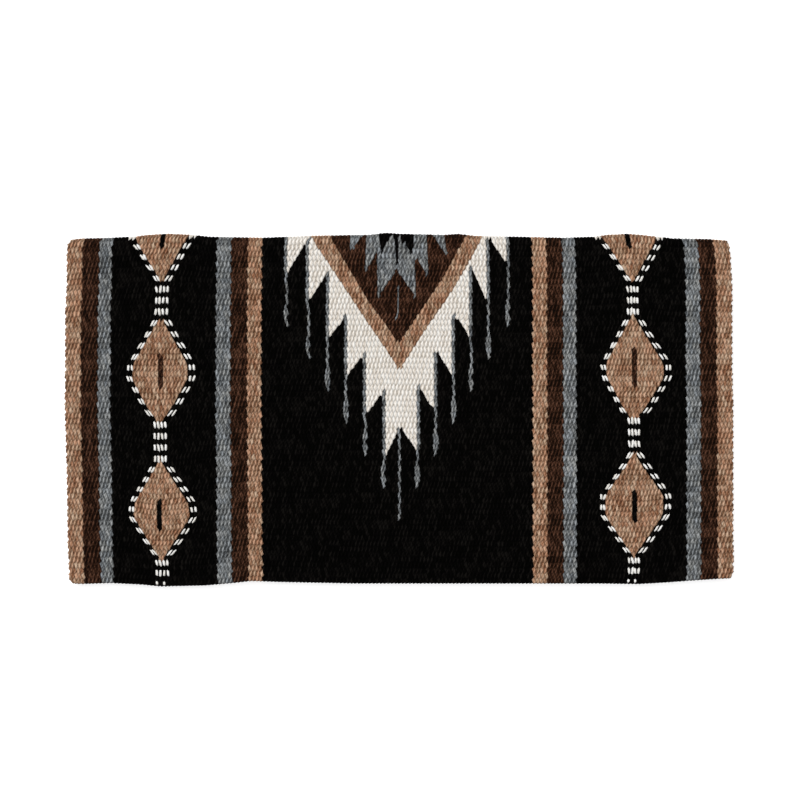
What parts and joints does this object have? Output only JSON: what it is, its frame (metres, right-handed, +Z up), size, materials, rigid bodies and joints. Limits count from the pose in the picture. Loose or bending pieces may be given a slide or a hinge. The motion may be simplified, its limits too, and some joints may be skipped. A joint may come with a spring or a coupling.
{
  "type": "saddle blanket",
  "caption": "Woven wool saddle blanket folded once over its spine and laid flat, with stripes, diamond chains and a stepped serrate motif; its front flap opens to lie flat.",
  "frame": {"origin": "middle of the underside of the folded blanket, where its box meets the surface it lies on", "axes": "+X runs along the fold, from the picture's left to its right; +Y points to the fold, which is worn along the horse's spine; +Z points up, out of the face that the picture shows"},
  "size_m": [0.864, 0.457, 0.0145],
  "materials": {
    "tan_wool": "matte",
    "brown_wool": "matte",
    "grey_wool": "matte",
    "black_wool": "matte",
    "white_wool": "matte",
    "pied_wool": "matte",
    "warp_wool": "matte"
  },
  "bodies": {
    "back_flap": {"back_brown_heart": "brown_wool", "back_centre_field": "black_wool", "back_diamond_outline_left": "pied_wool", "back_diamond_outline_right": "pied_wool", "back_grey_star": "grey_wool", "back_inner_brown_left": "brown_wool", "back_inner_brown_right": "brown_wool", "back_inner_grey_left": "grey_wool", "back_inner_grey_right": "grey_wool", "back_inner_tan_left": "tan_wool", "back_inner_tan_right": "tan_wool", "back_lower_diamond_left": "tan_wool", "back_lower_diamond_right": "tan_wool", "back_outer_brown_left": "brown_wool", "back_outer_brown_right": "brown_wool", "back_outer_grey_left": "grey_wool", "back_outer_grey_right": "grey_wool", "back_outer_tan_left": "tan_wool", "back_outer_tan_right": "tan_wool", "back_selvage_warp": "warp_wool", "back_side_field_left": "black_wool", "back_side_field_right": "black_wool", "back_spine_diamond_left": "tan_wool", "back_spine_diamond_right": "tan_wool", "back_tan_chevron": "tan_wool", "back_upper_diamond_left": "tan_wool", "back_upper_diamond_right": "tan_wool", "back_warp": "warp_wool", "back_white_serrate": "white_wool"},
    "spine": {"spine_fold": "black_wool", "spine_warp": "warp_wool"},
    "front_flap": {"front_brown_heart": "brown_wool", "front_centre_field": "black_wool", "front_diamond_outline_left": "pied_wool", "front_diamond_outline_right": "pied_wool", "front_grey_star": "grey_wool", "front_inner_brown_left": "brown_wool", "front_inner_brown_right": "brown_wool", "front_inner_grey_left": "grey_wool", "front_inner_grey_right": "grey_wool", "front_inner_tan_left": "tan_wool", "front_inner_tan_right": "tan_wool", "front_lower_diamond_left": "tan_wool", "front_lower_diamond_right": "tan_wool", "front_outer_brown_left": "brown_wool", "front_outer_brown_right": "brown_wool", "front_outer_grey_left": "grey_wool", "front_outer_grey_right": "grey_wool", "front_outer_tan_left": "tan_wool", "front_outer_tan_right": "tan_wool", "front_selvage_warp": "warp_wool", "front_side_field_left": "black_wool", "front_side_field_right": "black_wool", "front_spine_diamond_left": "tan_wool", "front_spine_diamond_right": "tan_wool", "front_tan_chevron": "tan_wool", "front_upper_diamond_left": "tan_wool", "front_upper_diamond_right": "tan_wool", "front_warp": "warp_wool", "front_white_serrate": "white_wool"}
  },
  "joints": [
    {"name": "fold_lower", "type": "hinge", "parent": "back_flap", "child": "spine", "pos_m": [0, 0.2242, 0.0043], "axis": [-1, 0, 0], "range_deg": [0, 90], "deforming": ["spine_fold"]},
    {"name": "fold_upper", "type": "hinge", "parent": "spine", "child": "front_flap", "pos_m": [0, 0.2242, 0.01019], "axis": [-1, 0, 0], "range_deg": [0, 90], "deforming": ["spine_fold"]}
  ],
  "couplings": [
    {"joint": "fold_upper", "follows": "fold_lower", "ratio": 1}
  ]
}
